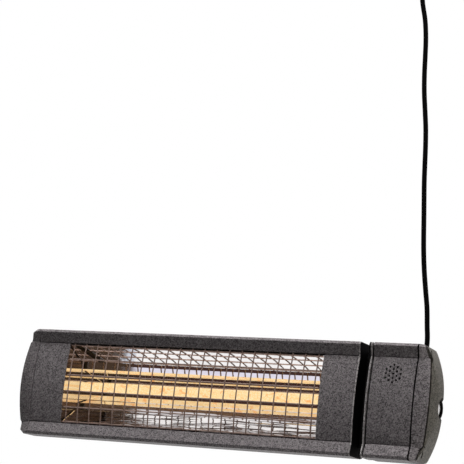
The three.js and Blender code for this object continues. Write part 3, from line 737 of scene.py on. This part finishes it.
plate_section = np.concatenate([front_arc(EDGE_Z, -PLATE_PROUD), around()])
for node, (start, thickness) in PLATES.items():
    end = start + thickness
    bar(node + "_smooth", node, plate_section, start, end, PLATE_EDGE_WIDTH)
print("panels", round(BODY_RIGHT - GAP - WINDOW_HALF, 1), "mm wide at the right")

# %% [markdown]
# ## End frames
#
# The end frame carries the section outwards to a ridge. Its front strip is widest at half height
# and draws in over the lips and towards the back. A subdivided cage could come near it, but the
# seams must meet the housing's outline exactly. So each ring is the outline itself, pushed out
# by a share of the strip's width, and for the cover drawn in towards the dome's middle as well.

# %% Rings of an end
BOX_RIGHT, STRIP_SET_BACK, SET_BACK_POWER = 343.2, 6.0, 1.3
DOME_CENTRE_D, END_FLOOR, CAP_SHARE = 36.0, 1.4, 0.05
THINNING, THINS_FROM, THINS_OVER, CORNER_DRAW = 0.75, 6.0, BACK_D - 3, 0.8
left_end = {
    "x": BODY_LEFT - GAP,
    "side": -1,
    "shoulder": SHOULDER_D,
    "widths": (23, 17.8, 15, 13),
}
right_end = {
    "x": BOX_RIGHT + GAP,
    "side": 1,
    "shoulder": BOX_SHOULDER_D,
    "widths": (19.1, 14.5, 12.5, 8.2),
}


def end_outline(shoulder):
    """The outline with one more point at the root of each lip, where the strip draws in."""
    root = np.array([[-LIP_REACH / LIP_HEIGHT, EDGE_Z + 1]])
    high, low = side_run(1, 0, shoulder), side_run(-1, 0, shoulder)[::-1]
    return np.concatenate([front_arc(EDGE_Z, 0), root, high, low, root * [1, -1]])


def frame_ring(end, out, share, shrink=1.0):
    """The outline pushed out along X. The reach is the strip's width at that height, times the
    share, less three quarters of itself towards the back; the strip also falls back near the
    front, by its set-back times the share to the power SET_BACK_POWER. The four widths are at
    half height, at the front's edge, and at the lip's root and tip. The ring is then drawn in
    to the dome's middle."""
    depth, z = end_outline(end["shoulder"]).T
    high = np.abs(z)
    middle, edge, root, tip = end["widths"]
    over_lip = root + (tip - root) * np.clip((high - EDGE_Z) / LIP_HEIGHT, 0, 1)
    over_lip = over_lip - CORNER_DRAW * np.maximum(0, high - EDGE_Z - LIP_HEIGHT)
    width = np.where(high <= EDGE_Z, middle - (middle - edge) * (z / EDGE_Z) ** 2, over_lip)
    reach = share * width * (1 - THINNING * np.maximum(0, depth - THINS_FROM) / THINS_OVER)
    front = np.maximum(0, 1 - np.maximum(0, depth + 1) / SHOULDER_D)
    depth = depth + STRIP_SET_BACK * share**SET_BACK_POWER * front
    drawn = DOME_CENTRE_D + (depth - DOME_CENTRE_D) * shrink
    return np.stack([end["x"] + end["side"] * (out + reach), FRONT_Y + drawn, z * shrink], 1)


print("points of an outline:", len(end_outline(SHOULDER_D)))


# %% Two end frames
def drawn_to(ring, end, out, share):
    """A ring drawn in to a share of its size about the dome's middle, at a reach from the seam."""
    hub = np.array([end["x"] + end["side"] * out, FRONT_Y + DOME_CENTRE_D, 0])
    return hub + (ring - hub) * share


RIDGE_STEPS = [(0, 0.995)]  # (share of the width, shrink)
RIDGE_STEPS += [(share, 1) for share in (0.03, 0.15, 0.3, 0.45, 0.6, 0.75, 0.87, 0.95)]
RIDGE_STEPS += [(0.99, 0.995), (1, 0.988)]


def end_frame(name, node, end):
    """The strip in steps to the ridge, a rounded ridge, then inwards over the floor."""
    rings = [frame_ring(end, 0, share, shrink) for share, shrink in RIDGE_STEPS]
    rings.insert(0, drawn_to(rings[0], end, 0, CAP_SHARE))
    rings.append(drawn_to(rings[-1], end, END_FLOOR, CAP_SHARE))
    return stand_for(node, make_object(name, *closed_skin(np.array(rings)), sharp_degrees=19))


end_frame("end_strip_left", "left_end_frame", left_end)
end_frame("end_strip_right", "right_end_frame", right_end)
print("strips", left_end["widths"][0], "and", right_end["widths"][0], "mm wide at half height")

# %% [markdown]
# ## Side covers
#
# Each end has a moulded cover behind a narrow groove, closed over a shallow dome. Towards its
# front corners two lens-shaped slots let a tool release it, and the right cover has a round
# recess for the button's collar. Holes in a domed mesh are hard to build point by point, so the
# dome is made whole and a Boolean cuts them, with its result kept as the mesh.

# %% Dome of a cover
GROOVE, DOME_REACH, DOME_POWER, DOME_RINGS, BLENDED_RINGS = 1.4, 24.2, 2.3, 28, 8
GROOVE_STEPS = [(3 * GAP, 0.955), (GROOVE, 0.962), (GROOVE + 0.3, 0.974), (GROOVE + 0.5, 0.98)]


def cover(name, end):
    """Rings up the groove's wall, each with its (reach, shrink), then a dome: each ring is the
    rim drawn in towards the middle by a share s, and raised by 1 - s ** DOME_POWER of the height
    left to the apex. Each of the first rings and all inside it are blended with their points'
    neighbours, which rounds the corners more and more towards the middle."""
    rings = [frame_ring(end, out, 1, shrink) for out, shrink in GROOVE_STEPS]
    rings.insert(0, drawn_to(rings[0], end, 2 * END_FLOOR, 2 * CAP_SHARE))
    rim = rings[-1]
    share = np.linspace(1, 0, DOME_RINGS, endpoint=False)[1:, None, None]
    dome = drawn_to(rim, end, DOME_REACH, share)
    apex_x = end["x"] + end["side"] * DOME_REACH
    dome[..., 0] = rim[:, 0] + (apex_x - rim[:, 0]) * (1 - share[..., 0] ** DOME_POWER)
    for first in range(BLENDED_RINGS):
        shade_mask = dome[first:]
        beside = np.roll(shade_mask, 1, axis=1) + np.roll(shade_mask, -1, axis=1)
        dome[first:] = shade_mask / 2 + beside / 4
    skin = closed_skin(np.concatenate([np.array(rings), dome]))
    return make_object(name, *skin, sharp_degrees=50)


# %% Cutting holes into a piece
def carve(made, cutters):
    """Cuts closed shapes out of a piece and keeps the result as its mesh."""
    for cutter in cutters:
        step = made.modifiers.new("cut", "BOOLEAN")
        step.operation = "DIFFERENCE"
        step.solver = "EXACT"
        step.object = cutter
    bpy.context.view_layer.update()
    seen = made.evaluated_get(bpy.context.evaluated_depsgraph_get())
    result = bpy.data.meshes.new_from_object(seen)
    made.modifiers.clear()
    made.data = result
    for cutter in cutters:
        bpy.data.objects.remove(cutter)
    finish_mesh(result, sharp_degrees=40)
    return made


# %% Slots, recess and covers
SLOT_HALF, SLOT_STRETCH, SLOT_POINTS, SLOT_SIDES = 1.4, 5, 11, 12
SLOT_ENDS = [[14.4, 8.8, 62.4], [8.9, 18, 72.6]]  # (reach from the seam, depth, height)
SLOT_INWARD = [-0.6, 0.8, 0]
BUTTON_D, BUTTON_Z, BUTTON_R, BUTTON_SEAT, DISH_R = 40.0, -2.7, 11.8, 352.5, 15.2
DISH_DEPTH, BORE_DEPTH = 20, 8


def slot_cutters(end):
    """A lens-shaped cutter between a slot's two ends, one above and one below: its half width is
    SLOT_HALF * sqrt(1 - t ** 2) for t from almost -1 to almost 1 along it, and it reaches
    SLOT_STRETCH times as far into the cover."""
    t = np.linspace(-0.97, 0.97, SLOT_POINTS)
    inward = np.array(SLOT_INWARD) * [end["side"], 1, 1]
    cutters = []
    for sign in (1, -1):
        ends = np.array(SLOT_ENDS) * [end["side"], 1, sign] + [end["x"], FRONT_Y, 0]
        path = ends[0] + (ends[1] - ends[0]) * (t[:, None] + 1) / 2
        rings = tube_rings(path, SLOT_HALF * np.sqrt(1 - t**2), SLOT_SIDES, AHEAD)
        depth = (rings - path[:, None]) @ inward
        rings = rings + (SLOT_STRETCH - 1) * depth[..., None] * inward
        cutters.append(make_object("slot", *closed_skin(rings)))
    return cutters


def button_rod(start, end, radius, sides=64):
    """A closed cylinder round the button's axis."""
    path = np.array([[x, FRONT_Y + BUTTON_D, BUTTON_Z] for x in (start, end)])
    return make_object("rod", *closed_skin(tube_rings(path, radius, sides, AHEAD)))


right_rim = {**right_end, "widths": (19.1, 14.5, 17, 10)}
stand_for("left_side_cover", carve(cover("cover_left", left_end), slot_cutters(left_end)))
dish = button_rod(BUTTON_SEAT, BUTTON_SEAT + DISH_DEPTH, DISH_R)
bore = button_rod(BOX_RIGHT - BORE_DEPTH, BUTTON_SEAT + 1, BUTTON_R + GAP)
right_cutters = [*slot_cutters(right_rim), dish, bore]
right_cover = stand_for("right_side_cover", carve(cover("cover_right", right_rim), right_cutters))
print("right cover faces:", len(right_cover.data.polygons))

# %% [markdown]
# ## The wire guard
#
# The guard is 21 bowed uprights and 6 long wires that lie just behind them, welded where they
# cross. A Wireframe modifier would join them in one plane. Real wires lie one behind the other,
# so each wire is a tube of its own, and each weld is a small bead between the two.

# %% Wire guard
WIRE_R, WIRE_PITCH, WIRE_COLUMNS, WIRE_SIDES = 0.95, 19.7, 21, 10
WIRE_ROWS = np.array([-56.2, -35.1, -11.7, 11.7, 35.1, 56.2])
GUARD_D, ROW_BEHIND, ROW_OVERHANG, UPRIGHT_SHORT = 1.6, 1.3 * WIRE_R, 5.5, 0.9
BEAD_R, BEAD_HALF, BEAD_AHEAD, BEAD_SIDES = 1.25, 1.5, 0.6, 6
bead_latitude = np.radians([-60, -20, 20, 60])

columns = (np.arange(WIRE_COLUMNS) - (WIRE_COLUMNS - 1) / 2) * WIRE_PITCH
arc = front_arc(EDGE_Z - UPRIGHT_SHORT, GUARD_D, steps=20)
skins = []
for x in columns:
    path = np.stack([np.full(len(arc), x), FRONT_Y + arc[:, 0], arc[:, 1]], 1)
    skins.append(tube_rings(path, WIRE_R, WIRE_SIDES, ALONG))
row_reach = columns[-1] + ROW_OVERHANG
row_y = FRONT_Y + (GUARD_D + ROW_BEHIND - BOW * (1 - (WIRE_ROWS / EDGE_Z) ** 2))
for y, z in zip(row_y, WIRE_ROWS):
    ends = np.array([[-row_reach, y, z], [row_reach, y, z]])
    skins.append(tube_rings(ends, WIRE_R, WIRE_SIDES, AHEAD))
for x in columns:
    for y, z in zip(row_y, WIRE_ROWS):
        bead_z = z + BEAD_HALF * np.sin(bead_latitude)
        path = np.stack(np.broadcast_arrays(x, y - BEAD_AHEAD, bead_z), 1)
        skins.append(tube_rings(path, BEAD_R * np.cos(bead_latitude), BEAD_SIDES, AHEAD))
guard = stand_for("wire_guard", make_object("guard", *many_skins(skins), sharp_degrees=60))
print("guard faces:", len(guard.data.polygons))

# %% [markdown]
# ## The lamp's tube and coil
#
# The tube is a lathe shape along X: a pipe's wall, with a slightly rounded rim, turned round the
# lamp's axis. The coil is a helix: a point runs round the axis while it moves along it, and a
# thin tube follows that point. A Screw modifier makes helices too, but here the helix is a path
# like any other, and a straight wire at either end leads to the cap.

# %% Tube
LAMP_D, LAMP_Z, LAMP_R, LAMP_HALF = 33.0, 0.0, 6.5, 214.0
PIPE_WALL, RIM_R, RIM_LENGTH = 1.1, 0.35, 1


def lathe_along_x(profile, depth, height, sides=64):
    """Rings of a (radius, station) profile, one for each of its points: y and z are the centre
    plus the radius times cos u and sin u."""
    profile = np.asarray(profile, float)
    u = np.linspace(0, 2 * np.pi, sides, endpoint=False)
    x = np.broadcast_to(profile[:, 1:2], (len(profile), sides))
    y = FRONT_Y + depth + profile[:, 0:1] * np.cos(u)
    z = height + profile[:, 0:1] * np.sin(u)
    return np.stack([x, y, z], -1)


def closed_loop(rings):
    """Faces of rings whose last ring meets the first, as round a pipe's wall."""
    looped = np.concatenate([rings, rings[:1]])
    faces = np.array(ring_faces(len(looped), rings.shape[1]))
    return rings.reshape(-1, 3), (faces % (rings.shape[0] * rings.shape[1])).tolist()


half_profile = [(LAMP_R - PIPE_WALL, LAMP_HALF), (LAMP_R - RIM_R, LAMP_HALF)]
half_profile += [(LAMP_R, LAMP_HALF - RIM_LENGTH)]
pipe = [(radius, -x) for radius, x in half_profile] + half_profile[::-1]
pipe_skin = closed_loop(lathe_along_x(pipe, LAMP_D, LAMP_Z))
tube = make_object("quartz_tube", *pipe_skin, sharp_degrees=50)
stand_for("lamp_tube", tube)
print("tube", 2 * LAMP_HALF, "mm long")

# %% Coil
COIL_HALF, COIL_R, COIL_WIRE_R, COIL_SIDES = 190.0, 1.3, 0.4, 5
COIL_TURNS, TURN_STEPS = 110, 20
COIL_END_R, COIL_END_SIDES, END_OVERLAP, END_SHORT = 0.6, 8, 2, 1

turn = np.linspace(0, 2 * np.pi * COIL_TURNS, COIL_TURNS * TURN_STEPS + 1)
station = np.linspace(-COIL_HALF, COIL_HALF, len(turn))
coil_y = FRONT_Y + LAMP_D + COIL_R * np.cos(turn)
coil_path = np.stack([station, coil_y, LAMP_Z + COIL_R * np.sin(turn)], 1)
coil_skins = [tube_rings(coil_path, COIL_WIRE_R, COIL_SIDES, ALONG)]
for side in (-1, 1):
    at = [side * (COIL_HALF - END_OVERLAP), side * (LAMP_HALF - END_SHORT)]
    ends = np.array([[x, FRONT_Y + LAMP_D, LAMP_Z] for x in at])
    coil_skins.append(tube_rings(ends, COIL_END_R, COIL_END_SIDES, AHEAD))
coil = make_object("lamp_coil", *many_skins(coil_skins), sharp_degrees=60)
stand_for("filament", coil)
print("coil faces:", len(coil.data.polygons))

# %% [markdown]
# ## Smooth copies of solids
#
# Several solids are right in size but show their facets, and their edges are knife sharp. They
# could be built again, but a copy whose loose triangles are joined can be shaded smoothly and
# given narrow edges, and it stands for the solid. The control box's front also gets its
# nineteen holes here, in a hexagon, a little wider than the solid's.


# %% Smooth copies
def smooth_copy(node, body, width_mm=0.3, sharp_degrees=30):
    """A copy of a solid with its doubles merged, smooth shading and softened edges."""
    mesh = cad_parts[node].data.copy()
    shape = bmesh.new()
    shape.from_mesh(mesh)
    bmesh.ops.remove_doubles(shape, verts=shape.verts, dist=1e-6)
    flat = np.radians(1)
    bmesh.ops.dissolve_limit(shape, angle_limit=flat, verts=shape.verts, edges=shape.edges)
    shape.to_mesh(mesh)
    shape.free()
    finish_mesh(mesh, sharp_degrees)
    print(node, "as a smooth copy:", len(mesh.polygons), "faces")
    made = bpy.data.objects.new(node + "_smooth", mesh)
    bpy.context.collection.objects.link(made)
    return stand_for(node, soften(made, width_mm), body)


# %% Holes in the control box's front
HOLE_X, HOLE_Z, HOLE_PITCH, HOLE_R, HOLE_SIDES = 310.0, 36.1, 6.0, 1.65, 20
HOLE_AHEAD, HOLE_BEHIND = 12, 8


def hole_cutters():
    """Rods for the holes, in columns of 3, 4, 5, 4 and 3 that are sqrt(3) / 2 pitches apart, so
    that each hole is one pitch from its neighbours."""
    cutters = []
    for column in range(-2, 3):
        count = 5 - abs(column)
        x = HOLE_X + column * HOLE_PITCH * np.sqrt(3) / 2
        for row in range(count):
            z = HOLE_Z + (row - (count - 1) / 2) * HOLE_PITCH
            path = np.array([[x, FRONT_Y - HOLE_AHEAD, z], [x, FRONT_Y + HOLE_BEHIND, z]])
            rings = tube_rings(path, HOLE_R, HOLE_SIDES, ALONG)
            cutters.append(make_object("hole", *closed_skin(rings)))
    return cutters


box_front = carve(smooth_copy("box_front", "heater"), hole_cutters())
print("box front faces:", len(box_front.data.polygons))

# %% The other copies
for node in ("box_housing", "neck_block", "gland_nut", "strain_relief"):
    smooth_copy(node, "heater")
for node in ("button_bezel", "pivot_ear_left", "pivot_ear_right"):
    smooth_copy(node, "heater", 0.2)
smooth_copy("power_button", "button", 0.25)
for node in ("wall_bracket", "outlet_base", "outlet_cover", "outlet_bush"):
    smooth_copy(node, "wall_mount")

# %% [markdown]
# ## The floor
#
# The ground is plain white. A white floor alone would need far more light than the heater's
# colours can take, so the floor also glows white, for the camera only: it sheds no light, and
# the object's shadow still falls on it. The mirrors look through it to the world.

# %% Floor
FLOOR_Z, FLOOR_HALF, FLOOR_GLOW = -1.9, 12.0, 0.95
floor_mesh = bpy.data.meshes.new("floor")
corners = np.array([[-1, -1], [1, -1], [1, 1], [-1, 1]]) * FLOOR_HALF
floor_mesh.from_pydata([(x, y, FLOOR_Z) for x, y in corners.tolist()], [], [(0, 1, 2, 3)])
floor = bpy.data.objects.new("floor", floor_mesh)
bpy.context.collection.objects.link(floor)


def pale_floor(b):
    """A matt white that glows for camera rays and is clear for glossy rays."""
    glossy_ray, camera_ray = b.rays("Glossy", "Camera")
    inputs = {
        "Base Color": b.blend(b.noise(b.place(), 60, detail=3), (0.80,) * 3, (0.86,) * 3),
        "Roughness": 0.9,
        "Emission Color": b.blend(camera_ray, (0,) * 3, (FLOOR_GLOW,) * 3),
        "Emission Strength": 1.0,
    }
    return b.mixed(glossy_ray, b.principled(inputs), b.node("ShaderNodeBsdfTransparent"))


dress(floor, finish("pale_floor", pale_floor))
print("floor at", FLOOR_Z, "m")

# %% [markdown]
# ## The world
#
# The camera sees a white world. The trough mirrors the room in front of it, and a studio has
# lit walls and dark gaps, which show in it as bands. Such a room could be built from cards, but
# they would throw light and stand in the way of other views. A ramp over the direction's angle
# gives the same bands, in mirrors alone. All else gets a low even light.

# %% World
WHITE, PALE, LAVENDER = (1, 1, 1), (0.75, 0.73, 0.74), (0.82, 0.80, 0.92)
BROWN, DARK_SIDE, SPOT_BLUE = (0.06, 0.03, 0.025), (0.06, 0.038, 0.025), (0.62, 0.66, 0.74)
BANDS = [(-180, WHITE), (-52, WHITE), (-47, BROWN), (-19, BROWN), (-17.5, LAVENDER)]
BANDS += [(-9, LAVENDER), (-6, BROWN), (5, BROWN), (8, WHITE), (22, WHITE)]
BANDS += [(25, BROWN), (34, BROWN), (38, PALE), (180, PALE)]
LIT_FROM, LIT_TO, DARK_FROM = -0.5175, -0.1, 0.72
SPOT_ANGLE, SPOT_ASIDE, SPOT_R, SPOT_PER_DEGREE = -72, -0.5195, 0.0028, 0.0006
LOW_LIGHT = 0.03


def mirrored_room(b):
    """The bands by the angle above straight ahead, in degrees, in the plane across the heater.
    Ahead, only the directions whose X is between LIT_FROM and LIT_TO are lit, and none is beyond
    DARK_FROM. One small round spot is where (angle, X) is within SPOT_R of its middle."""
    direction = b.node("ShaderNodeTexCoord", output="Generated")
    aside, ahead = b.axis(direction, "X"), b.axis(direction, "Y") * -1
    angle = b.axis(direction, "Z").maths("ARCTAN2", ahead) * (180 / np.pi)
    stops = [((degrees + 180) / 360, colour) for degrees, colour in BANDS]
    bands = b.node("ShaderNodeValToRGB", {"stops": stops}, {"Fac": (angle + 180) * (1 / 360)})
    lit = aside.above(LIT_FROM, 0.0015) * (1 - aside.above(LIT_TO, 0.1))
    unlit = ahead.above(0.05, 0.05) * (1 - lit)
    unlit = unlit.maths("MAXIMUM", aside.above(DARK_FROM, 0.05))
    across, along = (angle - SPOT_ANGLE) * SPOT_PER_DEGREE, aside - SPOT_ASIDE
    spot = 1 - (across * across + along * along).above(SPOT_R**2, 0.000003)
    return b.blend(spot, b.blend(unlit, bands, DARK_SIDE), SPOT_BLUE)


def studio(b):
    """The mirrored room for glossy rays, white for camera and transmission rays, and a low even
    light for all others."""
    camera_ray, glossy_ray, clear_ray = b.rays("Camera", "Glossy", "Transmission")
    colour = b.blend(glossy_ray, (LOW_LIGHT,) * 3, mirrored_room(b))
    colour = b.blend(camera_ray.maths("MAXIMUM", clear_ray), colour, WHITE)
    return b.node("ShaderNodeBackground", None, {"Color": colour, "Strength": 1.0})


world = bpy.data.worlds.new("studio")
bpy.context.scene.world = world
sky = Board(world)
sky.node("ShaderNodeOutputWorld", None, {"Surface": studio(sky)})
print("bands in the mirrored room:", len(BANDS))

# %% [markdown]
# ## The lamps
#
# A broad lamp high in front lights the lower lip and leaves the upper one dark. Two smaller ones,
# high and low at the right, light the right end, the low one a little warmer. Point lamps would
# cast hard shadows, so all three are area lamps. The mirrors don't show them, because they would
# outshine the wires in front of them.


# %% Lamps
def area_lamp(name, position, target, size, irradiance, colour):
    """A square lamp that gives the irradiance where it points: power = E * pi * distance ** 2."""
    data = bpy.data.lights.new(name, "AREA")
    data.size = size
    data.color = colour
    offset = Vector(target) - Vector(position)
    data.energy = irradiance * np.pi * offset.length_squared
    made = bpy.data.objects.new(name, data)
    made.location = position
    made.rotation_euler = offset.to_track_quat("-Z", "Y").to_euler()
    made.visible_glossy = False
    bpy.context.collection.objects.link(made)
    print(name, round(data.energy, 1), "W")


WINDOW_MIDDLE, BOX_END = (0.03, -0.1, 0.0), (0.35, -0.08, 0)
area_lamp("high_front", (0.2, -0.75, 2.65), WINDOW_MIDDLE, 1.1, 2.2 * np.pi, (1.0, 0.985, 0.975))
area_lamp("high_right", (1.7, -0.9, 2.0), BOX_END, 0.8, 0.12 * np.pi, (1.0, 0.98, 0.95))
area_lamp("low_right", (2.5, 0.1, -0.75), BOX_END, 0.8, 0.6 * np.pi, (1.0, 0.96, 0.90))

# %% [markdown]
# ## Colour and the closing lines
#
# The Standard view transform shows each colour about as it is written.

# %% Finish
bpy.context.scene.view_settings.view_transform = "Standard"
